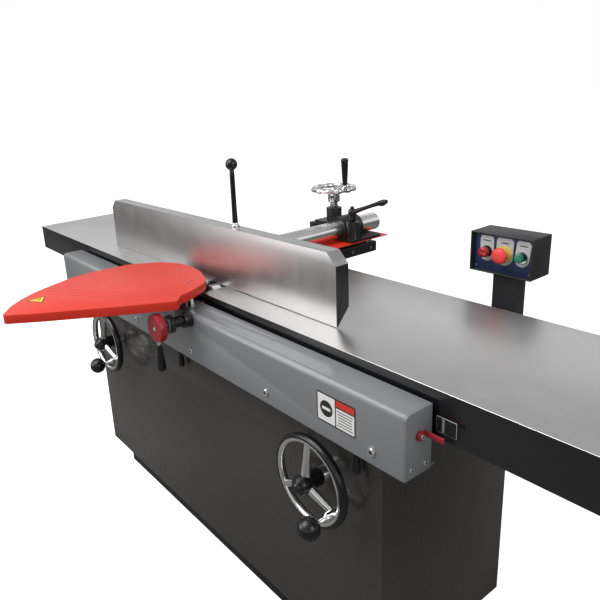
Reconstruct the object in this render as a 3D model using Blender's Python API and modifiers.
"""A sixteen-inch parallelogram jointer, modelled in Blender as separate parts.

Frame: X runs along the tables towards the infeed end, the operator stands at -Y, +Z is up.
X = 0 is the cutterhead's axis, Y = 0 the middle of the tables, Z = 0 the floor. Metres.
"""

from math import acos, cos, pi, radians, sin, sqrt

import bmesh
import bpy
from mathutils import Matrix, Vector

# ---------------------------------------------------------------- driving dimensions
GAP = 0.0003                # left between pieces that touch
RUNNING = 0.0005            # radial clearance of turning and sliding pieces

TABLE_TOP = 0.850           # outfeed table above the floor
TABLE_WIDTH = 0.412
HALF_WIDTH = TABLE_WIDTH / 2
TABLE_END = 1.225           # cutterhead axis to the far end of either table
TABLE_LIP = 0.036           # cutterhead axis to the lip of either table
TABLE_DEPTH = 0.091
TABLE_PLATE = 0.022         # thickness of the table's top plate
TABLE_RIM = 0.018
LIP_THICKNESS = 0.008
LIP_UNDERCUT = 0.070        # how far the thin lip reaches towards the cutterhead
CUT_DEPTH = 0.0015          # infeed table below outfeed table at rest
INFEED_RISE = CUT_DEPTH
INFEED_DROP = 0.0065

LIFT_SHAFT = 0.009
LIFT_ARM = 0.045

CUTTER_RADIUS = 0.0505
CUTTER_JOURNAL = 0.0175
PULLEY_RADIUS = 0.026
MOTOR_PULLEY_RADIUS = 0.052
BELT_WIDTH = 0.030
BELT_THICKNESS = 0.005
MOTOR_RADIUS = 0.095
MOTOR_LENGTH = 0.260

CABINET_LENGTH = 1.345
CABINET_FRONT = HALF_WIDTH + 0.020      # distance of the front wall from the middle
CABINET_BACK = HALF_WIDTH + 0.002
CABINET_TOP = TABLE_TOP - 0.150
MOTOR_DROP = CABINET_TOP - 0.220        # cutterhead axis down to motor axis
SHEET = 0.004
PLINTH_HEIGHT = 0.100
PLINTH_INSET = 0.045
BED_FLANGE = 0.022
BED_DEPTH = 0.090

APRON_HALF_LENGTH = 0.770
APRON_FRONT = HALF_WIDTH + 0.080
APRON_BACK = HALF_WIDTH + 0.010
APRON_TOP = TABLE_TOP - 0.023
APRON_SHEET = 0.003
APRON_BEND = 0.012
POINTER_Z = TABLE_TOP - 0.0705
POINTER_REACH = 0.040

WHEEL_RADIUS = 0.104        # table handwheels
WHEEL_RIM = 0.010
WHEEL_PLANE = HALF_WIDTH + 0.079        # distance of the rim from the middle
WHEEL_HEIGHT = CABINET_TOP - WHEEL_RADIUS - 0.021
OUTFEED_WHEEL_X = -0.470
INFEED_WHEEL_X = 0.530
WHEEL_KNOB_RADIUS = 0.024
WHEEL_KNOB_REACH = WHEEL_RADIUS - 0.024
LOCK_LEVER_Z = CABINET_TOP - 0.020

FENCE_LENGTH = 1.100
FENCE_LEFT = -0.641
FENCE_HEIGHT = 0.164
FENCE_THICKNESS = 0.038
FENCE_FACE = 0.074 - HALF_WIDTH         # rest place of the working face
FENCE_CHAMFER = 0.027
FENCE_LAND = 0.004          # width of the edge that rests on the table
FENCE_SKIN = 0.0036         # iron left in front of the hinge pockets
FENCE_RELIEF = 0.039        # height of the sloping cut behind that edge
FENCE_LIFT = 0.0005
FENCE_TRAVEL = 0.265
HINGE_BACK = 0.0095         # tilt axis behind the face and above the table
HINGE_UP = 0.0125
HINGE_RADIUS = 0.0020
KNUCKLE_RADIUS = 0.0050
HINGE_SPREAD = 0.090
HINGE_WIDTH = 0.040
POCKET_HEIGHT = 0.056
HANDLE_X = 0.075            # rod with the ball on top of the fence
HANDLE_LENGTH = 0.152
HANDLE_RADIUS = 0.0065
BALL_RADIUS = 0.0155

ARM_TOP = TABLE_TOP + 0.0145            # the arm that carries the clamp
REAR_GUARD_Z = ARM_TOP + 0.0141
REAR_GUARD_SHEET = 0.003
REAR_GUARD_WIDTH = 0.132
REAR_GUARD_END = HALF_WIDTH + 0.279
BAR_RADIUS = 0.0275
BAR_AXIS_Z = REAR_GUARD_Z + REAR_GUARD_SHEET + 0.0064 + BAR_RADIUS
BAR_START = FENCE_FACE + 0.150
BAR_END = HALF_WIDTH + 0.286
RACK_PITCH = 0.0025 * pi
PINION_TEETH = 20
PINION_WIDTH = 0.018
PINION_SHAFT = 0.009
TOOTH_HEIGHT = 0.0045

CLAMP_FRONT = HALF_WIDTH + 0.116
CLAMP_BACK = CLAMP_FRONT + 0.078
CLAMP_RING = BAR_RADIUS + 0.0135
CLAMP_LUG_X = BAR_RADIUS + 0.0185
CLAMP_LUG_Y = CLAMP_FRONT + 0.023
CLAMP_LUG_RADIUS = 0.021
CLAMP_LUG_TOP = BAR_AXIS_Z + BAR_RADIUS + 0.001
PINION_Y = CLAMP_FRONT + 0.039
PINION_BOSS = 0.024
PINION_BOSS_TOP = BAR_AXIS_Z + BAR_RADIUS + 0.033
ARM_DEPTH = 0.0325
ARM_RIGHT = 0.050
ARM_END = HALF_WIDTH + 0.244

TOP_WHEEL_RADIUS = 0.0705
TOP_WHEEL_RIM = 0.0075
TOP_WHEEL_Z = PINION_BOSS_TOP + 0.060
TOP_GRIP_REACH = 0.0625
TOP_GRIP_LENGTH = 0.084

GUARD_PIVOT_X = 0.057
GUARD_PIVOT_Y = 0.030 - APRON_FRONT
GUARD_UNDERSIDE = TABLE_TOP + 0.008
GUARD_DEPTH = 0.022
GUARD_SKIN = 0.005
GUARD_POST_RADIUS = 0.0125
GUARD_POST_FOOT = APRON_TOP - 0.099
GUARD_BRACKET_FOOT = APRON_TOP - 0.102
CLAMP_SCREW_X = 0.095
CLAMP_SCREW_Z = APRON_TOP - 0.012
CLAMP_SCREW_RADIUS = 0.008
RED_HUB_RADIUS = 0.0355
RED_HUB_FRONT = -APRON_FRONT - 0.1005
RED_HUB_DEPTH = 0.019
CLAMP_GRIP_LENGTH = 0.078
LOCK_KNOB_RADIUS = 0.0225
LOCK_KNOB_FRONT = -APRON_FRONT - 0.066
LOCK_KNOB_DEPTH = 0.018
GUARD_BOSS_RADIUS = 0.020
GUARD_BOSS_DEPTH = 0.022

PENDANT_LOW = (0.458, HALF_WIDTH + 0.139, TABLE_TOP + 0.025)
PENDANT_HIGH = (0.622, HALF_WIDTH + 0.223, TABLE_TOP + 0.127)
PENDANT_RECESS = 0.012
PENDANT_WALL = 0.003
PENDANT_POST = (0.064, 0.044)
PENDANT_POST_X = 0.545
PENDANT_POST_FRONT = HALF_WIDTH + 0.159
PENDANT_ARM_Z = CABINET_TOP - 0.100
BUTTON_Z = TABLE_TOP + 0.078
BUTTON_TRAVEL = 0.004

# ---------------------------------------------------------------- scene and materials
for leftover in list(bpy.data.objects):
    bpy.data.objects.remove(leftover, do_unlink=True)

parts = bpy.data.collections.new("jointer")
cutters = bpy.data.collections.new("cutters")
bpy.context.scene.collection.children.link(parts)
bpy.context.scene.collection.children.link(cutters)


def paint(name, colour, roughness, metallic=0.0):
    """A Principled material of one finish."""
    material = bpy.data.materials.new(name)
    material.use_nodes = True
    shader = material.node_tree.nodes["Principled BSDF"]
    shader.inputs["Base Color"].default_value = (*colour, 1.0)
    shader.inputs["Roughness"].default_value = roughness
    shader.inputs["Metallic"].default_value = metallic
    return material


GROUND_IRON = paint("ground_iron", (0.62, 0.62, 0.61), 0.28, 1.0)
BLACK_CASTING = paint("black_casting", (0.018, 0.018, 0.020), 0.42)
CHARCOAL = paint("charcoal_paint", (0.055, 0.052, 0.048), 0.35)
GREY_PAINT = paint("grey_paint", (0.24, 0.25, 0.27), 0.38)
RED_PAINT = paint("red_paint", (0.78, 0.055, 0.035), 0.35)
CHROME = paint("chrome", (0.80, 0.80, 0.80), 0.10, 1.0)
STEEL = paint("machined_steel", (0.55, 0.55, 0.56), 0.30, 1.0)
BLACK_PLASTIC = paint("black_plastic", (0.012, 0.012, 0.013), 0.28)
RUBBER = paint("rubber", (0.020, 0.020, 0.020), 0.75)
BLUE_PANEL = paint("blue_panel", (0.018, 0.030, 0.085), 0.45)
RED_PLASTIC = paint("red_plastic", (0.75, 0.05, 0.04), 0.30)
GREEN_PLASTIC = paint("green_plastic", (0.02, 0.30, 0.20), 0.30)


# ---------------------------------------------------------------- modelling helpers
def axis_matrix(start, direction):
    """Turns +Z to a direction and moves the origin to a point."""
    turn = Vector(direction).to_track_quat("Z", "Y").to_matrix().to_4x4()
    return Matrix.Translation(start) @ turn


def empty(name, place, parent=None):
    """An empty on a joint's axis; what moves with the joint is parented to it."""
    holder = bpy.data.objects.new(name, None)
    holder.empty_display_size = 0.03
    holder["place"] = place
    parts.objects.link(holder)
    if parent is not None:
        holder.parent = parent
    holder.location = Vector(place) - Vector(parent["place"] if parent else (0, 0, 0))
    return holder


def add(name, mesh, place, material=None, holder=None, group=parts):
    """Links a mesh as an object at a place in the world, under its joint's empty."""
    item = bpy.data.objects.new(name, mesh)
    group.objects.link(item)
    if material is not None:
        mesh.materials.append(material)
    if holder is not None:
        item.parent = holder
        item.location = Vector(place) - Vector(holder["place"])
    else:
        item.location = place
    if group is cutters:
        item.hide_render = True
        item.display_type = "WIRE"
    mesh.shade_smooth()
    mesh.set_sharp_from_angle(angle=radians(35))
    return item


def from_bmesh(name, shape):
    """A mesh datablock from a finished bmesh."""
    mesh = bpy.data.meshes.new(name)
    shape.normal_update()
    bmesh.ops.recalc_face_normals(shape, faces=shape.faces)
    shape.to_mesh(mesh)
    shape.free()
    return mesh


def bevel(item, width, segments=2):
    """Rounds the sharp edges of an object."""
    rounding = item.modifiers.new("rounding", "BEVEL")
    rounding.width = width
    rounding.segments = segments
    rounding.limit_method = "ANGLE"
    rounding.angle_limit = radians(40)
    return item


def box(name, low, high, material=None, holder=None, group=parts):
    """A block between two corners, with its origin at its middle."""
    low, high = Vector(low), Vector(high)
    shape = bmesh.new()
    bmesh.ops.create_cube(shape, size=1.0, matrix=Matrix.Diagonal((*(high - low), 1.0)))
    return add(name, from_bmesh(name, shape), (low + high) / 2, material, holder, group)


def rod(name, start, end, radius, material=None, holder=None, group=parts, end_radius=None, sides=24):
    """A round bar or cone between two points, with its origin at its first end."""
    start, end = Vector(start), Vector(end)
    length = (end - start).length
    shape = bmesh.new()
    bmesh.ops.create_cone(shape, cap_ends=True, segments=sides, radius1=radius, depth=length,
                          radius2=radius if end_radius is None else end_radius,
                          matrix=axis_matrix((0, 0, 0), end - start)
                          @ Matrix.Translation((0, 0, length / 2)))
    return add(name, from_bmesh(name, shape), start, material, holder, group)


def ball(name, centre, radius, material=None, holder=None, group=parts):
    """A ball, with its origin at its middle."""
    shape = bmesh.new()
    bmesh.ops.create_uvsphere(shape, u_segments=18, v_segments=10, radius=radius)
    return add(name, from_bmesh(name, shape), centre, material, holder, group)


def turned(name, profile, place, direction, material=None, holder=None, group=parts, steps=20):
    """A turned shape: (radius, height) points down the outer side, from top to bottom."""
    mesh = bpy.data.meshes.new(name)
    edges = [(i, i + 1) for i in range(len(profile) - 1)]
    if profile[0][0] > 0:
        edges.append((len(profile) - 1, 0))
    mesh.from_pydata([(r, 0, z) for r, z in profile], edges, [])
    item = add(name, mesh, place, material, holder, group)
    item.rotation_euler = Vector(direction).to_track_quat("Z", "Y").to_euler()
    screw = item.modifiers.new("turning", "SCREW")
    screw.axis = "Z"
    screw.steps = screw.render_steps = steps
    screw.use_merge_vertices = True
    screw.merge_threshold = 0.00001
    screw.use_smooth_shade = True
    return item


def ring(name, centre, direction, radius, thickness, material=None, holder=None, group=parts):
    """A torus about an axis."""
    bpy.ops.mesh.primitive_torus_add(major_segments=32, minor_segments=8,
                                     major_radius=radius, minor_radius=thickness)
    torus = bpy.context.object
    mesh = torus.data
    bpy.data.objects.remove(torus, do_unlink=True)
    mesh.transform(axis_matrix((0, 0, 0), direction))
    return add(name, mesh, centre, material, holder, group)


def plate(name, points, place, direction, thickness, material=None, holder=None, group=parts):
    """A flat outline in the plane across a direction, thickened evenly about that plane."""
    curve = bpy.data.curves.new(name, "CURVE")
    curve.dimensions = "2D"
    curve.fill_mode = "BOTH"
    curve.extrude = thickness / 2
    spline = curve.splines.new("POLY")
    spline.points.add(len(points) - 1)
    for slot, (u, v) in zip(spline.points, points):
        slot.co = (u, v, 0, 1)
    spline.use_cyclic_u = True
    guide = bpy.data.objects.new(name + "_curve", curve)
    cutters.objects.link(guide)
    bpy.context.view_layer.update()
    mesh = bpy.data.meshes.new_from_object(guide.evaluated_get(bpy.context.evaluated_depsgraph_get()))
    bpy.data.objects.remove(guide, do_unlink=True)
    shape = bmesh.new()
    shape.from_mesh(mesh)
    bmesh.ops.remove_doubles(shape, verts=shape.verts, dist=0.00001)
    shape.transform(PLANES[direction])
    mesh = from_bmesh(name, shape)
    mesh.name = name
    return add(name, mesh, place, material, holder, group)


# How a drawing plane stands in the world: (u, v) of an outline becomes (x, y), (x, z) or (y, z).
PLANES = {
    "XY": Matrix.Identity(4),
    "XZ": Matrix(((1, 0, 0, 0), (0, 0, 1, 0), (0, 1, 0, 0), (0, 0, 0, 1))),
    "YZ": Matrix(((0, 0, 1, 0), (1, 0, 0, 0), (0, 1, 0, 0), (0, 0, 0, 1))),
}


def combine(item, operation, tools):
    """Adds Boolean modifiers, one for each tool."""
    for tool in tools:
        step = item.modifiers.new(tool.name, "BOOLEAN")
        step.operation = operation
        step.solver = "EXACT"
        step.object = tool
    return item


def cut(item, *tools):
    """Cuts tools away from an object."""
    return combine(item, "DIFFERENCE", tools)


def fuse(item, *tools):
    """Makes tools and an object one solid."""
    return combine(item, "UNION", tools)


def tool_box(name, low, high):
    """A block that only shapes another piece."""
    return box(name, low, high, group=cutters)


def tool_rod(name, start, end, radius, sides=24):
    """A round bar that only shapes another piece."""
    return rod(name, start, end, radius, group=cutters, sides=sides)


# ---------------------------------------------------------------- sizes worked out from those above
TABLE_BOTTOM = TABLE_TOP - TABLE_DEPTH
CUTTER_Z = TABLE_TOP - CUTTER_RADIUS
MOTOR_Z = CUTTER_Z - MOTOR_DROP
CABINET_HALF = CABINET_LENGTH / 2
BED_TOP = CABINET_TOP + GAP + BED_FLANGE
BED_BACK = CABINET_BACK - 0.010
BELT_Y = HALF_WIDTH + 0.032
PINION_RADIUS = RACK_PITCH * PINION_TEETH / (2 * pi)
RACK_TIP = sqrt(BAR_RADIUS ** 2 - (PINION_WIDTH / 2) ** 2)
RACK_LINE = RACK_TIP - TOOTH_HEIGHT / 2
PINION_X = -(RACK_LINE + PINION_RADIUS)
ARM_LEFT = PINION_X - 0.0763
LIFT_Z = TABLE_TOP - 0.113
BEARING_Y = HALF_WIDTH - 0.030          # middle of either bearing block
BEARING_TOP = TABLE_TOP - CUT_DEPTH - INFEED_DROP - LIP_THICKNESS - 0.007
CHEEK_Y = HALF_WIDTH - 0.056            # middle of either pair of lift bearings
SHAFT_END = HALF_WIDTH - 0.042
DRUM_END = HALF_WIDTH - 0.046
JOURNAL_END = HALF_WIDTH - 0.012
HINGE_Y = FENCE_FACE + HINGE_BACK
HINGE_Z = TABLE_TOP + HINGE_UP
FENCE_RIGHT = FENCE_LEFT + FENCE_LENGTH


# ---------------------------------------------------------------- base, cabinet and bed
def open_tray(name, low, high, wall, material, missing):
    """A sheet box with one side left out; missing is the axis and sign of that side."""
    low, high = Vector(low), Vector(high)
    shape = bmesh.new()
    bmesh.ops.create_cube(shape, size=1.0, matrix=Matrix.Diagonal((*(high - low), 1.0)))
    gone = [face for face in shape.faces if face.normal.dot(Vector(missing)) > 0.9]
    bmesh.ops.delete(shape, geom=gone, context="FACES_ONLY")
    item = add(name, from_bmesh(name, shape), (low + high) / 2, material)
    shell = item.modifiers.new("sheet", "SOLIDIFY")
    shell.thickness = wall
    shell.offset = -1
    shell.use_even_offset = True
    return item


def base():
    """The recessed plinth, the sheet cabinet and the cast bed on top of it."""
    open_tray("base_plinth", (-CABINET_HALF + PLINTH_INSET, -CABINET_FRONT + PLINTH_INSET, 0),
              (CABINET_HALF - PLINTH_INSET, CABINET_BACK - PLINTH_INSET, PLINTH_HEIGHT),
              0.006, BLACK_CASTING, (0, 0, 1))

    floor = PLINTH_HEIGHT + GAP
    cabinet = open_tray("cabinet_shell", (-CABINET_HALF, -CABINET_FRONT, floor),
                        (CABINET_HALF, CABINET_BACK, CABINET_TOP), SHEET, CHARCOAL, (0, 0, 1))
    cut(cabinet,
        tool_rod("motor_shaft_hole", (0, CABINET_BACK - 0.02, MOTOR_Z),
                 (0, CABINET_BACK + 0.02, MOTOR_Z), 0.030),
        tool_box("access_hole", (-0.56, CABINET_BACK - 0.02, 0.20),
                 (-0.20, CABINET_BACK + 0.02, CABINET_TOP - 0.14)),
        tool_box("chip_hole", (0.26, CABINET_BACK - 0.02, 0.24), (0.42, CABINET_BACK + 0.02, 0.40)),
        tool_rod("outfeed_wheel_hole", (OUTFEED_WHEEL_X, -CABINET_FRONT - 0.02, WHEEL_HEIGHT),
                 (OUTFEED_WHEEL_X, -CABINET_FRONT + 0.02, WHEEL_HEIGHT), 0.010),
        tool_rod("infeed_wheel_hole", (INFEED_WHEEL_X, -CABINET_FRONT - 0.02, WHEEL_HEIGHT),
                 (INFEED_WHEEL_X, -CABINET_FRONT + 0.02, WHEEL_HEIGHT), 0.010))

    box("rear_access_panel", (-0.60, CABINET_BACK + GAP, 0.16),
        (-0.16, CABINET_BACK + GAP + 0.003, CABINET_TOP - 0.10), CHARCOAL)
    port = rod("dust_port", (0.34, CABINET_BACK + GAP, 0.32), (0.34, CABINET_BACK + 0.075, 0.32),
               0.062, BLACK_PLASTIC, sides=48)
    fuse(port, tool_box("dust_port_flange", (0.245, CABINET_BACK + GAP, 0.225),
                        (0.435, CABINET_BACK + 0.006, 0.415)))
    cut(port, tool_rod("dust_port_bore", (0.34, CABINET_BACK - 0.01, 0.32),
                       (0.34, CABINET_BACK + 0.09, 0.32), 0.058, 48))

    bed = box("bed_casting", (-CABINET_HALF + 0.01, -CABINET_FRONT + 0.045, CABINET_TOP + GAP),
              (CABINET_HALF - 0.01, BED_BACK, BED_TOP), BLACK_CASTING)
    well = tool_box("bed_well", (-CABINET_HALF + 0.05, -CABINET_FRONT + 0.06, BED_TOP - BED_DEPTH),
                    (CABINET_HALF - 0.05, BED_BACK - 0.03, BED_TOP - 0.005))
    hollow = tool_box("bed_hollow",
                      (-CABINET_HALF + 0.07, -CABINET_FRONT + 0.08, BED_TOP - BED_DEPTH - 0.01),
                      (CABINET_HALF - 0.07, BED_BACK - 0.05, BED_TOP - 0.02))
    chute = tool_box("chip_opening", (-0.055, -0.150, BED_TOP - 0.06), (0.055, 0.120, BED_TOP + 0.01))
    fuse(bed, well)
    cut(bed, hollow, chute)
    for side, sign in (("front", -1), ("rear", 1)):
        foot = tool_box(side + "_pedestal", (-0.050, sign * BEARING_Y - 0.014, BED_TOP - 0.010),
                        (0.050, sign * BEARING_Y + 0.014, CUTTER_Z - 0.032))
        fuse(bed, foot)
    for x in (-1, 1):
        for end in (0.16, 0.56):
            for y in (-1, 1):
                cheek = tool_box(f"lift_cheek_{x}_{end}_{y}",
                                 (x * end - 0.024, y * CHEEK_Y - 0.012, BED_TOP - 0.004),
                                 (x * end + 0.024, y * CHEEK_Y + 0.012, TABLE_BOTTOM - INFEED_DROP - 0.004))
                fuse(bed, cheek)
                cut(bed, tool_rod(f"lift_bore_{x}_{end}_{y}", (x * end, y * CHEEK_Y - 0.02, LIFT_Z),
                                  (x * end, y * CHEEK_Y + 0.02, LIFT_Z), LIFT_SHAFT + RUNNING, 24))


# ---------------------------------------------------------------- cutterhead and drive
def cutterhead():
    """Drum, bearing blocks, pulleys, belt and motor."""
    spin = empty("cutterhead_axis", (0, 0, CUTTER_Z))
    drum = rod("cutterhead_drum", (0, -DRUM_END, CUTTER_Z), (0, DRUM_END, CUTTER_Z),
               CUTTER_RADIUS - 0.0015, STEEL, spin, sides=48)
    journal = tool_rod("cutter_journal", (0, -JOURNAL_END, CUTTER_Z), (0, BELT_Y + 0.020, CUTTER_Z),
                       CUTTER_JOURNAL)
    fuse(drum, journal)
    for side, sign in (("front", -1), ("rear", 1)):
        block = box(side + "_bearing_block", (-0.040, sign * BEARING_Y - 0.013, CUTTER_Z - 0.032 + GAP),
                    (0.040, sign * BEARING_Y + 0.013, BEARING_TOP), BLACK_CASTING)
        cut(block, tool_rod(side + "_bearing_bore", (0, sign * BEARING_Y - 0.02, CUTTER_Z),
                            (0, sign * BEARING_Y + 0.02, CUTTER_Z), CUTTER_JOURNAL + RUNNING))

    pulley = rod("cutterhead_pulley", (0, BELT_Y - BELT_WIDTH / 2 - 0.002, CUTTER_Z),
                 (0, BELT_Y + BELT_WIDTH / 2 + 0.002, CUTTER_Z), PULLEY_RADIUS - BELT_THICKNESS,
                 CHROME, spin)
    cut(pulley, tool_rod("cutter_pulley_bore", (0, BELT_Y - 0.04, CUTTER_Z),
                         (0, BELT_Y + 0.04, CUTTER_Z), CUTTER_JOURNAL + GAP))

    motor_axis = empty("motor_axis", (0, 0, MOTOR_Z))
    motor_back = CABINET_BACK - SHEET - 0.030
    rod("motor_body", (0, motor_back - MOTOR_LENGTH, MOTOR_Z), (0, motor_back, MOTOR_Z),
        MOTOR_RADIUS, GREY_PAINT, sides=40)
    motor_pulley = rod("motor_pulley", (0, BELT_Y - BELT_WIDTH / 2 - 0.002, MOTOR_Z),
                       (0, BELT_Y + BELT_WIDTH / 2 + 0.002, MOTOR_Z),
                       MOTOR_PULLEY_RADIUS - BELT_THICKNESS, STEEL, motor_axis, sides=40)
    fuse(motor_pulley, tool_rod("motor_shaft", (0, motor_back + GAP, MOTOR_Z),
                                (0, BELT_Y + 0.01, MOTOR_Z), 0.014, 24))
    shelf = box("motor_bracket",
                (-0.13, motor_back - MOTOR_LENGTH + 0.02, PLINTH_HEIGHT + GAP + SHEET + GAP),
                (0.13, motor_back - 0.02, MOTOR_Z - MOTOR_RADIUS + 0.030), BLACK_CASTING)
    cut(shelf, tool_rod("motor_cradle", (0, motor_back - MOTOR_LENGTH - 0.05, MOTOR_Z),
                        (0, motor_back + 0.05, MOTOR_Z), MOTOR_RADIUS + GAP, 40))

    belt_outline = belt_loop(PULLEY_RADIUS + GAP, MOTOR_PULLEY_RADIUS + GAP)
    belt = plate("drive_belt", belt_outline, (0, BELT_Y, 0), "XZ", BELT_WIDTH, RUBBER)
    inner = plate("belt_inside", belt_loop(PULLEY_RADIUS - BELT_THICKNESS + RUNNING,
                                           MOTOR_PULLEY_RADIUS - BELT_THICKNESS + RUNNING),
                  (0, BELT_Y, 0), "XZ", BELT_WIDTH + 0.01, group=cutters)
    cut(belt, inner)

    guard_low = (-0.078, CABINET_BACK + GAP, MOTOR_Z - 0.075)
    guard_high = (0.078, BELT_Y + 0.034, ARM_TOP - ARM_DEPTH - 0.0025)
    cover = box("belt_guard", guard_low, guard_high, BLACK_CASTING)
    for side in (-1, 1):
        cut(cover, tool_box(f"belt_guard_shoulder_{side}",
                            (min(side * 0.056, side * 0.10), CABINET_BACK - 0.01, MOTOR_Z + 0.28),
                            (max(side * 0.056, side * 0.10), BELT_Y + 0.05, ARM_TOP)))
    cut(cover,
        tool_box("belt_guard_hollow_low", (-0.074, CABINET_BACK - 0.01, MOTOR_Z - 0.071),
                 (0.074, BELT_Y + 0.030, MOTOR_Z + 0.276)),
        tool_box("belt_guard_hollow_high", (-0.052, CABINET_BACK - 0.01, MOTOR_Z + 0.27),
                 (0.052, BELT_Y + 0.030, guard_high[2] - 0.0015)))


def belt_loop(top_radius, low_radius):
    """The outline of a belt round the two pulleys, as (x, z) points."""
    lean = acos((low_radius - top_radius) / MOTOR_DROP)
    steps = 20
    upper = [pi / 2 - lean + 2 * lean * i / steps for i in range(steps + 1)]
    lower = [pi / 2 + lean + 2 * (pi - lean) * i / steps for i in range(steps + 1)]
    points = [(top_radius * cos(a), CUTTER_Z + top_radius * sin(a)) for a in upper]
    return points + [(low_radius * cos(a), MOTOR_Z + low_radius * sin(a)) for a in lower]


# ---------------------------------------------------------------- tables and their lift
def table(name, side, holder, top):
    """One ribbed table casting; side is +1 for infeed and -1 for outfeed."""
    bottom = top - TABLE_DEPTH
    outline = [(side * x, z) for x, z in (
        (TABLE_LIP, top), (TABLE_END, top), (TABLE_END, bottom), (LIP_UNDERCUT, bottom),
        (LIP_UNDERCUT, top - 0.040), (TABLE_LIP + 0.012, top - LIP_THICKNESS - 0.006),
        (TABLE_LIP, top - LIP_THICKNESS))]
    casting = plate(name, outline, (0, 0, 0), "XZ", TABLE_WIDTH, GROUND_IRON, holder)
    inside = HALF_WIDTH - TABLE_RIM
    bays = 4
    span = (TABLE_END - LIP_UNDERCUT - TABLE_RIM) / bays
    for bay in range(bays):
        start = LIP_UNDERCUT + TABLE_RIM + bay * span
        ends = sorted((side * start, side * (start + span - TABLE_RIM)))
        cut(casting, tool_box(f"{name}_pocket_{bay}", (ends[0], -inside, bottom - 0.02),
                              (ends[1], inside, top - TABLE_PLATE)))
    return casting


def tables():
    """Both tables, their eccentric lift shafts and the front handwheels."""
    infeed = empty("infeed_lift_axis", (0, 0, TABLE_TOP - CUT_DEPTH))
    outfeed = empty("outfeed_lift_axis", (0, 0, TABLE_TOP))
    table("infeed_table", 1, infeed, TABLE_TOP - CUT_DEPTH)
    table("outfeed_table", -1, outfeed, TABLE_TOP)
    for name, side in (("infeed", 1), ("outfeed", -1)):
        for number, distance in ((1, 0.16), (2, 0.56)):
            place = (side * distance, 0, LIFT_Z)
            axis = empty(f"{name}_lift_shaft_{number}_axis", place)
            shaft = rod(f"{name}_lift_shaft_{number}", (place[0], -SHAFT_END, LIFT_Z),
                        (place[0], SHAFT_END, LIFT_Z), LIFT_SHAFT, STEEL, axis, sides=24)
            arm = tool_box(f"{name}_lift_arm_{number}",
                           (place[0], -0.020, LIFT_Z - LIFT_SHAFT + 0.002),
                           (place[0] + LIFT_ARM, 0.020, LIFT_Z + LIFT_SHAFT - 0.002))
            fuse(shaft, arm)

    for name, x in (("outfeed", OUTFEED_WHEEL_X), ("infeed", INFEED_WHEEL_X)):
        table_wheel(name, x)


def table_wheel(name, x):
    """A front handwheel with its shaft, and the ball knob that turns on it."""
    axis = empty(name + "_wheel_axis", (x, -WHEEL_PLANE, WHEEL_HEIGHT))
    rim = ring(name + "_handwheel", (x, -WHEEL_PLANE, WHEEL_HEIGHT), (0, 1, 0),
               WHEEL_RADIUS - WHEEL_RIM, WHEEL_RIM, CHROME, axis)
    hub = tool_rod(name + "_wheel_hub", (x, -WHEEL_PLANE - 0.022, WHEEL_HEIGHT),
                   (x, -WHEEL_PLANE + 0.028, WHEEL_HEIGHT), 0.022)
    shaft = tool_rod(name + "_wheel_shaft", (x, -WHEEL_PLANE, WHEEL_HEIGHT),
                     (x, -CABINET_FRONT + 0.060, WHEEL_HEIGHT), 0.009, 24)
    fuse(rim, hub)
    for spoke in range(3):
        turn = KNOB_ANGLE + 2 * pi * spoke / 3
        tip = WHEEL_RADIUS - WHEEL_RIM
        fuse(rim, tool_rod(f"{name}_wheel_spoke_{spoke}", (x, -WHEEL_PLANE, WHEEL_HEIGHT),
                           (x + tip * cos(turn), -WHEEL_PLANE, WHEEL_HEIGHT + tip * sin(turn)),
                           0.007, 12))
    fuse(rim, shaft)
    knob_x = x + WHEEL_KNOB_REACH * cos(KNOB_ANGLE)
    knob_z = WHEEL_HEIGHT + WHEEL_KNOB_REACH * sin(KNOB_ANGLE)
    stud = tool_rod(name + "_knob_stud", (knob_x, -WHEEL_PLANE, knob_z),
                    (knob_x, -WHEEL_PLANE - 0.044, knob_z), 0.005, 16)
    fuse(rim, stud)
    knob_axis = empty(name + "_knob_axis", (knob_x, -WHEEL_PLANE - 0.070, knob_z), axis)
    knob = ball(name + "_wheel_knob", (knob_x, -WHEEL_PLANE - 0.070, knob_z), WHEEL_KNOB_RADIUS,
                BLACK_PLASTIC, knob_axis)
    cut(knob, tool_rod(name + "_knob_bore", (knob_x, -WHEEL_PLANE - 0.030, knob_z),
                       (knob_x, -WHEEL_PLANE - 0.046, knob_z), 0.005 + RUNNING, 16))


KNOB_ANGLE = radians(-29)


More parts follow.
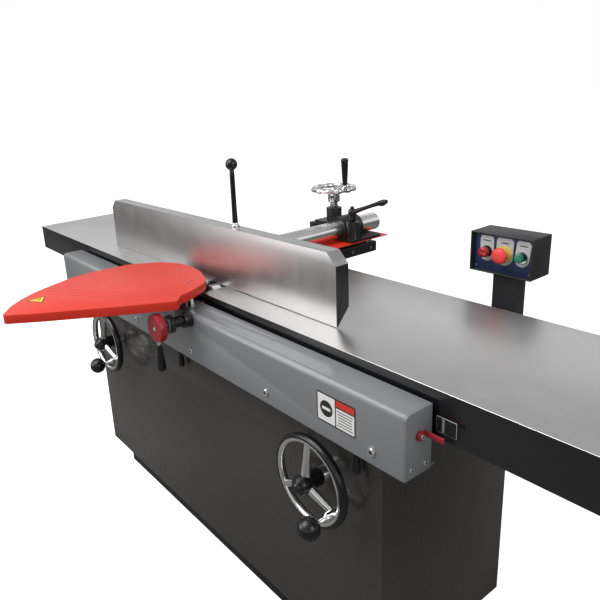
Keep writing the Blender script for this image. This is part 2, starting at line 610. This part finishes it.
# ---------------------------------------------------------------- front cover and table locks
def apron():
    """The long sheet cover in front of the tables, its ends and pointer, and the lock levers."""
    steps = 6
    corner = [(-APRON_FRONT + APRON_BEND * (1 - cos(a)), APRON_TOP - APRON_BEND * (1 - sin(a)))
              for a in (pi / 2 * i / steps for i in range(steps + 1))]
    path = [(-APRON_BACK, APRON_TOP)] + corner[::-1] + [(-APRON_FRONT, CABINET_TOP + GAP),
                                                        (0.006 - HALF_WIDTH, CABINET_TOP + GAP)]
    shape = bmesh.new()
    corners = [shape.verts.new((-APRON_HALF_LENGTH, y, z)) for y, z in path]
    edges = [shape.edges.new(pair) for pair in zip(corners, corners[1:])]
    swept = bmesh.ops.extrude_edge_only(shape, edges=edges)
    moved = [item for item in swept["geom"] if isinstance(item, bmesh.types.BMVert)]
    bmesh.ops.translate(shape, verts=moved, vec=(2 * APRON_HALF_LENGTH, 0, 0))
    mesh = bpy.data.meshes.new("apron_cover")
    shape.to_mesh(mesh)
    shape.free()
    cover = add("apron_cover", mesh, (0, 0, 0), GREY_PAINT)
    sheet = cover.modifiers.new("sheet", "SOLIDIFY")
    sheet.thickness = APRON_SHEET
    sheet.offset = 1
    sheet.use_even_offset = True
    cut(cover,
        tool_rod("post_hole", (GUARD_PIVOT_X, GUARD_PIVOT_Y, APRON_TOP - 0.02),
                 (GUARD_PIVOT_X, GUARD_PIVOT_Y, APRON_TOP + 0.02), GUARD_POST_RADIUS + 0.002),
        tool_rod("clamp_hole", (CLAMP_SCREW_X, -APRON_FRONT - 0.02, CLAMP_SCREW_Z - 0.016),
                 (CLAMP_SCREW_X, -APRON_FRONT + 0.02, CLAMP_SCREW_Z - 0.016), 0.008, 24))
    for name, side in (("left", -1), ("right", 1)):
        inner = side * (APRON_HALF_LENGTH + GAP)
        outer = side * (APRON_HALF_LENGTH + GAP + APRON_SHEET)
        outline = path[:-1] + [(-APRON_BACK, CABINET_TOP + GAP)]
        plate("apron_end_" + name, outline, ((inner + outer) / 2, 0, 0), "YZ",
              abs(outer - inner), GREY_PAINT)
    foot = APRON_HALF_LENGTH + APRON_SHEET + 2 * GAP
    low, high = -HALF_WIDTH - 0.0455, -HALF_WIDTH - 0.0300
    pointer = rod("depth_pointer", (foot, low, POINTER_Z), (foot + 0.007, low, POINTER_Z), 0.0085, RED_PAINT)
    fuse(pointer,
         tool_box("pointer_foot", (foot, low, POINTER_Z - 0.005), (foot + 0.004, high, POINTER_Z + 0.005)),
         tool_box("pointer_arm", (foot, high - 0.004, POINTER_Z - 0.005),
                  (foot + POINTER_REACH, high, POINTER_Z + 0.005)))

    for name, x in (("outfeed", -0.049), ("infeed", 0.620)):
        place = (x, -CABINET_FRONT - GAP, LOCK_LEVER_Z)
        axis = empty(name + "_lock_axis", place)
        lever = rod(name + "_lock_lever", place, (x, place[1] - 0.026, place[2]), 0.013,
                    BLACK_PLASTIC, axis, sides=24)
        grip = rod(name + "_lock_grip", (x, place[1] - 0.016, place[2]),
                   (x, place[1] - 0.016, place[2] - 0.062), 0.006, end_radius=0.0095,
                   group=cutters, sides=20)
        fuse(lever, grip)


# ---------------------------------------------------------------- cutter guard
def rounded(points, radius, steps=3):
    """An outline with each corner turned into a short arc of about one radius."""
    result = []
    for i, here in enumerate(points):
        here = Vector(here)
        before = (Vector(points[i - 1]) - here)
        after = (Vector(points[(i + 1) % len(points)]) - here)
        reach = min(radius, before.length / 2.2, after.length / 2.2)
        first, last = here + before.normalized() * reach, here + after.normalized() * reach
        for step in range(steps + 1):
            t = step / steps
            result.append(tuple(first * (1 - t) ** 2 + here * 2 * t * (1 - t) + last * t ** 2))
    return result


# The guard's corners from above, (x, y) from its pivot.
GUARD_CORNERS = [(-0.151, -0.428), (-0.205, -0.392), (-0.242, -0.353), (-0.273, -0.310),
                 (-0.303, -0.247), (-0.333, -0.174), (-0.336, -0.100), (-0.328, -0.010),
                 (-0.282, 0.064), (-0.225, 0.100), (-0.164, 0.108), (-0.098, 0.098),
                 (-0.047, 0.077), (-0.019, 0.063), (0.000, 0.039), (0.029, -0.015),
                 (0.038, -0.052), (0.070, -0.075), (0.001, -0.193), (-0.099, -0.353)]


def guard():
    """Swinging cutter guard, the post that carries it, and the bracket that clamps the post."""
    rise = empty("guard_lift_axis", (GUARD_PIVOT_X, GUARD_PIVOT_Y, GUARD_UNDERSIDE))
    top = GUARD_UNDERSIDE + GUARD_DEPTH
    rod("guard_post", (GUARD_PIVOT_X, GUARD_PIVOT_Y, GUARD_POST_FOOT),
        (GUARD_PIVOT_X, GUARD_PIVOT_Y, top - GUARD_SKIN - GAP),
        GUARD_POST_RADIUS, CHROME, rise)

    swing = empty("guard_swing_axis", (GUARD_PIVOT_X, GUARD_PIVOT_Y, GUARD_UNDERSIDE), rise)
    outline = rounded(GUARD_CORNERS, 0.012)
    middle = (GUARD_PIVOT_X, GUARD_PIVOT_Y, GUARD_UNDERSIDE + GUARD_DEPTH / 2)
    blade = plate("guard_plate", outline, middle, "XY", GUARD_DEPTH, RED_PAINT, swing)
    centre = Vector((-0.13, -0.13))
    inset = [tuple(centre + (Vector(p) - centre) * (1 - 0.008 / (Vector(p) - centre).length))
             for p in outline]
    pocket = plate("guard_pocket", inset, (middle[0], middle[1], middle[2] - GUARD_SKIN), "XY",
                   GUARD_DEPTH, group=cutters)
    cut(blade, pocket)
    socket = tool_rod("guard_socket", (GUARD_PIVOT_X, GUARD_PIVOT_Y, GUARD_UNDERSIDE),
                      (GUARD_PIVOT_X, GUARD_PIVOT_Y, top - GUARD_SKIN / 2),
                      GUARD_POST_RADIUS + 0.0028)
    bore = tool_rod("guard_socket_bore", (GUARD_PIVOT_X, GUARD_PIVOT_Y, GUARD_UNDERSIDE - 0.01),
                    (GUARD_PIVOT_X, GUARD_PIVOT_Y, top - GUARD_SKIN), GUARD_POST_RADIUS + GAP)
    fuse(blade, socket)
    cut(blade, bore)

    bracket_top = APRON_TOP - APRON_SHEET - 0.006
    bracket_low = GUARD_BRACKET_FOOT
    bracket = box("guard_bracket",
                  (GUARD_PIVOT_X - 0.022, -APRON_FRONT + APRON_SHEET + GAP, bracket_low),
                  (CLAMP_SCREW_X + 0.022, GUARD_PIVOT_Y + 0.022, bracket_top - 0.012), BLACK_CASTING)
    cut(bracket, tool_rod("guard_post_bore", (GUARD_PIVOT_X, GUARD_PIVOT_Y, bracket_low - 0.01),
                          (GUARD_PIVOT_X, GUARD_PIVOT_Y, bracket_top + 0.01),
                          GUARD_POST_RADIUS + RUNNING))
    neck = tool_rod("bracket_neck", (CLAMP_SCREW_X, -APRON_FRONT - 0.002, CLAMP_SCREW_Z - 0.016),
                    (CLAMP_SCREW_X, -APRON_FRONT + 0.010, CLAMP_SCREW_Z - 0.016), 0.0075, 24)
    boss = tool_rod("bracket_boss", (CLAMP_SCREW_X, -APRON_FRONT - GAP, CLAMP_SCREW_Z),
                    (CLAMP_SCREW_X, -APRON_FRONT - GUARD_BOSS_DEPTH, CLAMP_SCREW_Z), GUARD_BOSS_RADIUS)
    cheek = tool_box("bracket_cheek",
                     (CLAMP_SCREW_X - 0.052, -APRON_FRONT - 0.012, CLAMP_SCREW_Z - 0.010),
                     (CLAMP_SCREW_X, -APRON_FRONT - GAP, CLAMP_SCREW_Z + 0.024))
    fuse(bracket, neck, boss, cheek)
    cut(bracket, tool_rod("clamp_screw_bore", (CLAMP_SCREW_X, -APRON_FRONT - 0.005, CLAMP_SCREW_Z),
                          (CLAMP_SCREW_X, -APRON_FRONT - 0.04, CLAMP_SCREW_Z),
                          CLAMP_SCREW_RADIUS + RUNNING, 24))

    turn = empty("guard_clamp_axis", (CLAMP_SCREW_X, RED_HUB_FRONT, CLAMP_SCREW_Z))
    hub = rod("guard_clamp_hub", (CLAMP_SCREW_X, RED_HUB_FRONT, CLAMP_SCREW_Z),
              (CLAMP_SCREW_X, RED_HUB_FRONT + RED_HUB_DEPTH, CLAMP_SCREW_Z), RED_HUB_RADIUS,
              RED_PAINT, turn, sides=40)
    fuse(hub, tool_rod("clamp_screw", (CLAMP_SCREW_X, RED_HUB_FRONT + 0.010, CLAMP_SCREW_Z),
                       (CLAMP_SCREW_X, -APRON_FRONT - 0.0055, CLAMP_SCREW_Z), CLAMP_SCREW_RADIUS, 24))
    cut(hub, tool_rod("hub_screw_recess", (CLAMP_SCREW_X, RED_HUB_FRONT - 0.01, CLAMP_SCREW_Z),
                      (CLAMP_SCREW_X, RED_HUB_FRONT + 0.004, CLAMP_SCREW_Z), 0.008, 24))
    grip_y = RED_HUB_FRONT + RED_HUB_DEPTH / 2
    grip_top = CLAMP_SCREW_Z - RED_HUB_RADIUS - GAP
    end = -CLAMP_GRIP_LENGTH
    grip = turned("guard_clamp_grip", [(0.0, 0.0), (0.0062, 0.0), (0.0064, -0.012), (0.0112, end + 0.016),
                                       (0.0112, end + 0.008), (0.0078, end + 0.001), (0.0, end)],
                  (CLAMP_SCREW_X, grip_y, grip_top), (0, 0, 1), BLACK_PLASTIC, turn)
    grip.rotation_euler = (0, 0, 0)

    knob_turn = empty("guard_lock_knob_axis", (CLAMP_SCREW_X, LOCK_KNOB_FRONT, CLAMP_SCREW_Z))
    knob = rod("guard_lock_knob", (CLAMP_SCREW_X, LOCK_KNOB_FRONT, CLAMP_SCREW_Z),
               (CLAMP_SCREW_X, LOCK_KNOB_FRONT + LOCK_KNOB_DEPTH, CLAMP_SCREW_Z), LOCK_KNOB_RADIUS,
               BLACK_PLASTIC, knob_turn)
    fuse(knob, tool_rod("lock_knob_neck", (CLAMP_SCREW_X, LOCK_KNOB_FRONT + 0.010, CLAMP_SCREW_Z),
                        (CLAMP_SCREW_X, -APRON_FRONT - GUARD_BOSS_DEPTH - GAP, CLAMP_SCREW_Z), 0.0135, 24))
    cut(knob, tool_rod("lock_knob_bore", (CLAMP_SCREW_X, LOCK_KNOB_FRONT - 0.01, CLAMP_SCREW_Z),
                       (CLAMP_SCREW_X, -APRON_FRONT, CLAMP_SCREW_Z), CLAMP_SCREW_RADIUS + RUNNING, 24))


# ---------------------------------------------------------------- fence, carriage and bar
def fence():
    """Tilting fence with its handle, on the carriage and bar that slide through the clamp."""
    slide = empty("fence_slide_axis", (0, FENCE_FACE, TABLE_TOP))
    tilt = empty("fence_tilt_axis", (0, HINGE_Y, HINGE_Z), slide)
    low, high = TABLE_TOP + FENCE_LIFT, TABLE_TOP + FENCE_HEIGHT
    outline = [(FENCE_LEFT, low), (FENCE_RIGHT, low), (FENCE_RIGHT, high - FENCE_CHAMFER),
               (FENCE_RIGHT - FENCE_CHAMFER, high), (FENCE_LEFT + FENCE_CHAMFER, high),
               (FENCE_LEFT, high - FENCE_CHAMFER)]
    board = plate("fence_plate", outline, (0, FENCE_FACE + FENCE_THICKNESS / 2, 0), "XZ",
                  FENCE_THICKNESS, GROUND_IRON, tilt)
    past = 0.02
    slope = FENCE_RELIEF / (FENCE_THICKNESS - FENCE_LAND)
    relief = plate("fence_relief", [(FENCE_FACE + FENCE_LAND - past, low - past * slope),
                                    (FENCE_FACE + FENCE_THICKNESS + past, low - past * slope),
                                    (FENCE_FACE + FENCE_THICKNESS + past, low + FENCE_RELIEF + past * slope)],
                   ((FENCE_LEFT + FENCE_RIGHT) / 2, 0, 0), "YZ", FENCE_LENGTH + 0.02, group=cutters)
    cut(board, relief)
    for side in (-1, 1):
        x = side * HINGE_SPREAD
        half = HINGE_WIDTH / 2 + 0.002
        cut(board, tool_box(f"hinge_pocket_{side}", (x - half, FENCE_FACE + FENCE_SKIN, low - 0.02),
                            (x + half, FENCE_FACE + FENCE_THICKNESS + 0.01, low + POCKET_HEIGHT)))
    pin_end = HINGE_SPREAD + HINGE_WIDTH / 2 + 0.020
    cut(board, tool_rod("hinge_pin_bore", (-pin_end - 0.001, HINGE_Y, HINGE_Z),
                        (pin_end + 0.001, HINGE_Y, HINGE_Z), HINGE_RADIUS + RUNNING, 20))
    rod("fence_hinge_pin", (-pin_end, HINGE_Y, HINGE_Z), (pin_end, HINGE_Y, HINGE_Z),
        HINGE_RADIUS, STEEL, slide, sides=20)

    top = FENCE_FACE + FENCE_THICKNESS / 2
    stem = rod("fence_handle_rod", (HANDLE_X, top, high + GAP), (HANDLE_X, top, high + HANDLE_LENGTH),
               HANDLE_RADIUS, BLACK_PLASTIC, tilt, sides=24)
    fuse(stem, tool_rod("fence_handle_collar", (HANDLE_X, top, high + GAP),
                        (HANDLE_X, top, high + 0.014), 0.011, 24))
    knob = ball("fence_handle_ball", (HANDLE_X, top, high + HANDLE_LENGTH + 0.010), BALL_RADIUS,
                BLACK_PLASTIC, tilt)
    cut(knob, tool_rod("handle_ball_bore", (HANDLE_X, top, high + HANDLE_LENGTH - 0.02),
                       (HANDLE_X, top, high + HANDLE_LENGTH + GAP), HANDLE_RADIUS + GAP, 24))
    carriage(slide)
    bar(slide)


def carriage(slide):
    """The casting behind the fence: hinge arms, foot and the socket that grips the bar."""
    face, floor = FENCE_FACE, TABLE_TOP
    foot_low, foot_high = floor + 0.016, floor + 0.028
    body = box("fence_carriage", (-0.120, face + 0.072, foot_low), (0.120, BAR_START + 0.033, foot_high),
               BLACK_CASTING, slide)
    socket = tool_box("bar_socket", (-0.045, face + 0.152, foot_low),
                      (0.045, BAR_START + 0.033, BAR_AXIS_Z + BAR_RADIUS + 0.010))
    fuse(body, socket)
    for side in (-1, 1):
        x = side * HINGE_SPREAD
        half = HINGE_WIDTH / 2
        half_height = KNUCKLE_RADIUS - 0.0008
        arm = tool_box(f"hinge_arm_{side}", (x - half + 0.0005, HINGE_Y, HINGE_Z - half_height),
                       (x + half - 0.0005, face + 0.076, HINGE_Z + half_height))
        knuckle = tool_rod(f"hinge_knuckle_{side}", (x - half, HINGE_Y, HINGE_Z),
                           (x + half, HINGE_Y, HINGE_Z), KNUCKLE_RADIUS)
        fuse(body, arm, knuckle)
    cut(body,
        tool_rod("knuckle_bore", (-0.12, HINGE_Y, HINGE_Z), (0.12, HINGE_Y, HINGE_Z),
                 HINGE_RADIUS + GAP, 20),
        tool_rod("bar_socket_bore", (0, BAR_START - GAP, BAR_AXIS_Z), (0, BAR_END, BAR_AXIS_Z),
                 BAR_RADIUS + GAP, 48))

    sheet = box("rear_guard_plate", (-REAR_GUARD_WIDTH / 2, BAR_START + 0.033 + GAP, REAR_GUARD_Z),
                (REAR_GUARD_WIDTH / 2, REAR_GUARD_END, REAR_GUARD_Z + REAR_GUARD_SHEET), RED_PAINT, slide)
    fuse(sheet, tool_box("rear_guard_hem", (-REAR_GUARD_WIDTH / 2, BAR_START + 0.033 + GAP, foot_low),
                         (REAR_GUARD_WIDTH / 2, BAR_START + 0.036 + GAP, REAR_GUARD_Z + 0.001)))

    place = (0.098, face + 0.112, foot_high + GAP)
    lock = empty("tilt_lock_axis", place, slide)
    lever = rod("tilt_lock_lever", place, (place[0], place[1], place[2] + 0.020), 0.010,
                BLACK_PLASTIC, lock, sides=24)
    grip = rod("tilt_lock_grip", (place[0], place[1], place[2] + 0.012),
               (place[0] + 0.062, place[1] + 0.010, place[2] + 0.016), 0.0045, end_radius=0.0065,
               group=cutters, sides=16)
    fuse(lever, grip)


def tooth_rack(first, count):
    """Outline of a rack as (y, x): teeth towards -X, straight back."""
    root, tip = -(RACK_TIP - TOOTH_HEIGHT), -RACK_TIP
    points = []
    for tooth in range(count):
        centre = first + RACK_PITCH * tooth
        points += [(centre - 0.30 * RACK_PITCH, root), (centre - 0.11 * RACK_PITCH, tip),
                   (centre + 0.11 * RACK_PITCH, tip), (centre + 0.30 * RACK_PITCH, root)]
    back = -0.012
    start, end = points[0][0] - 0.002, points[-1][0] + 0.002
    return [(start, back), (start, root)] + points + [(end, root), (end, back)]


def bar(slide):
    """The round bar with its rack, the pinion with the top handwheel, and the clamp."""
    shaft = rod("fence_bar", (0, BAR_START, BAR_AXIS_Z), (0, BAR_END, BAR_AXIS_Z), BAR_RADIUS,
                CHROME, slide, sides=48)
    bevel(shaft, 0.002, 1)
    rack_low, rack_high = BAR_AXIS_Z - PINION_WIDTH / 2, BAR_AXIS_Z + PINION_WIDTH / 2
    first = PINION_Y - FENCE_TRAVEL - RACK_PITCH * 2
    count = int((BAR_END - 0.012 - first) / RACK_PITCH)
    first = PINION_Y - RACK_PITCH * round((PINION_Y - first) / RACK_PITCH)
    outline = [(x, y) for y, x in tooth_rack(first, count)]
    start, end = outline[0][1], outline[-1][1]
    cut(shaft, tool_box("rack_seat", (-0.05, start, rack_low), (-0.0125, end, rack_high)))
    fuse(shaft, plate("bar_rack", outline, (0, 0, BAR_AXIS_Z), "XY", rack_high - rack_low - 0.0004,
                      group=cutters))

    spin = empty("pinion_axis", (PINION_X, PINION_Y, BAR_AXIS_Z))
    wheel_top = TOP_WHEEL_Z + 0.010
    pinion_shaft = rod("pinion_shaft", (PINION_X, PINION_Y, BAR_AXIS_Z - 0.020),
                       (PINION_X, PINION_Y, wheel_top - 0.006), PINION_SHAFT, STEEL, spin, sides=24)
    fuse(pinion_shaft, plate("pinion_teeth", pinion_outline(), (PINION_X, PINION_Y, BAR_AXIS_Z), "XY",
                             PINION_WIDTH - 0.001, group=cutters))
    fuse(pinion_shaft, tool_rod("pinion_collar", (PINION_X, PINION_Y, PINION_BOSS_TOP + 0.001),
                                (PINION_X, PINION_Y, PINION_BOSS_TOP + 0.012), 0.0125, 6))

    wheel = ring("fence_handwheel", (PINION_X, PINION_Y, TOP_WHEEL_Z), (0, 0, 1),
                 TOP_WHEEL_RADIUS - TOP_WHEEL_RIM, TOP_WHEEL_RIM, CHROME, spin)
    fuse(wheel, tool_rod("top_wheel_hub", (PINION_X, PINION_Y, PINION_BOSS_TOP + 0.0125),
                         (PINION_X, PINION_Y, wheel_top), 0.0185, 24))
    for spoke in range(3):
        turn = TOP_GRIP_ANGLE + 2 * pi * spoke / 3
        reach = TOP_WHEEL_RADIUS - TOP_WHEEL_RIM
        fuse(wheel, tool_rod(f"top_wheel_spoke_{spoke}", (PINION_X, PINION_Y, TOP_WHEEL_Z - 0.004),
                             (PINION_X + reach * cos(turn), PINION_Y + reach * sin(turn), TOP_WHEEL_Z),
                             0.0055, 12))
    grip_x = PINION_X + TOP_GRIP_REACH * cos(TOP_GRIP_ANGLE)
    grip_y = PINION_Y + TOP_GRIP_REACH * sin(TOP_GRIP_ANGLE)
    grip_low = TOP_WHEEL_Z + TOP_WHEEL_RIM + 0.008
    fuse(wheel, tool_rod("top_grip_stud", (grip_x, grip_y, TOP_WHEEL_Z),
                         (grip_x, grip_y, grip_low + 0.040), 0.0035, 12))
    cut(wheel, tool_rod("top_wheel_bore", (PINION_X, PINION_Y, PINION_BOSS_TOP),
                        (PINION_X, PINION_Y, wheel_top - 0.005), PINION_SHAFT + GAP, 24))
    grip_axis = empty("top_grip_axis", (grip_x, grip_y, grip_low), spin)
    grip = turned("fence_wheel_grip", [(0.0038, TOP_GRIP_LENGTH - 0.0001), (0.0078, TOP_GRIP_LENGTH),
                                       (0.0112, TOP_GRIP_LENGTH - 0.006), (0.0114, 0.056), (0.0078, 0.010),
                                       (0.0065, 0.0), (0.0042, 0.0), (0.0042, 0.045), (0.0038, 0.048)],
                  (grip_x, grip_y, grip_low), (0, 0, 1), BLACK_PLASTIC, grip_axis)
    grip.rotation_euler = (0, 0, 0)
    bar_clamp()


TOP_GRIP_ANGLE = radians(-11)


def pinion_outline():
    """Outline of the pinion, with a tooth gap towards the rack tooth at rest."""
    root = PINION_RADIUS - TOOTH_HEIGHT / 2 - 0.0003
    tip = PINION_RADIUS + TOOTH_HEIGHT / 2 - 0.0006
    step = 2 * pi / PINION_TEETH
    points = []
    for tooth in range(PINION_TEETH):
        middle = (tooth + 0.5) * step
        for radius, share in ((root, -0.30), (tip, -0.10), (tip, 0.10), (root, 0.30)):
            points.append((radius * cos(middle + share * step), radius * sin(middle + share * step)))
    return points


def bar_clamp():
    """The casting that guides the bar and carries the pinion, its arm and its clamp lever."""
    pedestal = (ARM_LEFT + 0.002, CLAMP_FRONT, ARM_TOP + GAP)
    body = rod("bar_clamp", (0, CLAMP_FRONT, BAR_AXIS_Z), (0, CLAMP_BACK, BAR_AXIS_Z), CLAMP_RING,
               BLACK_CASTING, sides=48)
    cut(body, tool_box("clamp_flat", (-0.10, CLAMP_FRONT - 0.01, BAR_AXIS_Z - 0.06),
                       (0.10, CLAMP_BACK + 0.01, REAR_GUARD_Z + REAR_GUARD_SHEET + 0.0015)))
    fuse(body,
         tool_rod("pinion_boss", (PINION_X, PINION_Y, BAR_AXIS_Z - 0.030),
                  (PINION_X, PINION_Y, PINION_BOSS_TOP), PINION_BOSS),
         tool_box("pinion_case", (ARM_LEFT + 0.020, PINION_Y - 0.032, BAR_AXIS_Z - 0.028),
                  (PINION_X + 0.032, PINION_Y + 0.032, BAR_AXIS_Z + 0.018)),
         tool_box("clamp_pedestal", pedestal,
                  (-REAR_GUARD_WIDTH / 2 - 0.004, CLAMP_BACK, BAR_AXIS_Z + 0.010)),
         tool_box("clamp_flange", (-0.020, CLAMP_FRONT, REAR_GUARD_Z + REAR_GUARD_SHEET + 0.0015),
                  (REAR_GUARD_WIDTH / 2 + 0.0005, ARM_END, REAR_GUARD_Z + REAR_GUARD_SHEET + 0.009)),
         tool_rod("clamp_lug", (CLAMP_LUG_X, CLAMP_LUG_Y, REAR_GUARD_Z + REAR_GUARD_SHEET + 0.004),
                  (CLAMP_LUG_X, CLAMP_LUG_Y, CLAMP_LUG_TOP), CLAMP_LUG_RADIUS))
    cut(body,
        tool_rod("bar_bore", (0, CLAMP_FRONT - 0.01, BAR_AXIS_Z), (0, ARM_END + 0.01, BAR_AXIS_Z),
                 BAR_RADIUS + RUNNING, 48),
        tool_rod("pinion_cavity", (PINION_X, PINION_Y, BAR_AXIS_Z - 0.010),
                 (PINION_X, PINION_Y, BAR_AXIS_Z + 0.010), PINION_RADIUS + TOOTH_HEIGHT / 2 + 0.001),
        tool_rod("pinion_shaft_bore", (PINION_X, PINION_Y, BAR_AXIS_Z - 0.022),
                 (PINION_X, PINION_Y, PINION_BOSS_TOP + 0.01), PINION_SHAFT + RUNNING, 24))

    arm = box("bar_bracket", (ARM_LEFT, HALF_WIDTH + 0.006, ARM_TOP - ARM_DEPTH),
              (ARM_RIGHT, ARM_END, ARM_TOP), BLACK_CASTING)
    fuse(arm, tool_box("bracket_column", (ARM_LEFT, HALF_WIDTH + 0.006, CABINET_TOP - 0.070),
                       (ARM_LEFT + 0.045, HALF_WIDTH + 0.060, ARM_TOP - 0.010)))
    rod_base = (CLAMP_LUG_X, CLAMP_LUG_Y, CLAMP_LUG_TOP + GAP)
    lock = empty("clamp_lever_axis", rod_base)
    lever = rod("clamp_lever", rod_base, (rod_base[0], rod_base[1], rod_base[2] + 0.040), 0.0125,
                BLACK_PLASTIC, lock, sides=24)
    grip = rod("clamp_lever_grip", (rod_base[0], rod_base[1], rod_base[2] + 0.030),
               (rod_base[0] + 0.130, rod_base[1] + 0.004, rod_base[2] + 0.078), 0.0065,
               end_radius=0.0075, group=cutters, sides=16)
    stud = tool_rod("clamp_lever_stud", (rod_base[0], rod_base[1], rod_base[2] + 0.030),
                    (rod_base[0], rod_base[1], rod_base[2] + 0.049), 0.006, 16)
    fuse(lever, grip, stud)


# ---------------------------------------------------------------- control pendant
def pendant():
    """The switch box on its post, its recessed panel and three push buttons."""
    low, high = Vector(PENDANT_LOW), Vector(PENDANT_HIGH)
    post_x = (PENDANT_POST_X - PENDANT_POST[0] / 2, PENDANT_POST_X + PENDANT_POST[0] / 2)
    post = box("control_post", (post_x[0], PENDANT_POST_FRONT, PENDANT_ARM_Z),
               (post_x[1], PENDANT_POST_FRONT + PENDANT_POST[1], low.z - GAP), BLACK_CASTING)
    fuse(post, tool_box("post_arm", (post_x[0], CABINET_BACK + GAP, PENDANT_ARM_Z),
                        (post_x[1], PENDANT_POST_FRONT + 0.01, PENDANT_ARM_Z + 0.060)))

    open_tray("control_box", low, high, PENDANT_WALL, BLACK_CASTING, (0, -1, 0))
    wall = PENDANT_WALL + GAP
    face = low.y + PENDANT_RECESS
    panel = box("control_panel", (low.x + wall, face, low.z + wall),
                (high.x - wall, face + 0.003, high.z - wall), BLUE_PANEL)
    specs = (("stop_button", 0.498, 0.0135, 0.022, RED_PLASTIC),
             ("emergency_button", 0.5455, 0.0200, 0.032, RED_PLASTIC),
             ("start_button", 0.591, 0.0115, 0.020, GREEN_PLASTIC))
    for name, x, radius, reach, material in specs:
        axis = empty(name + "_axis", (x, face, BUTTON_Z))
        stem = 0.007
        cut(panel, tool_rod(name + "_hole", (x, face - 0.01, BUTTON_Z), (x, face + 0.01, BUTTON_Z),
                            stem + RUNNING, 24))
        cap = rod(name, (x, face - reach, BUTTON_Z), (x, face - BUTTON_TRAVEL - 0.006, BUTTON_Z),
                  radius, material, axis)
        fuse(cap, tool_rod(name + "_stem", (x, face - BUTTON_TRAVEL - 0.010, BUTTON_Z),
                           (x, face + 0.030, BUTTON_Z), stem, 24))


base()
cutterhead()
tables()
apron()
guard()
fence()
pendant()
bpy.context.view_layer.update()
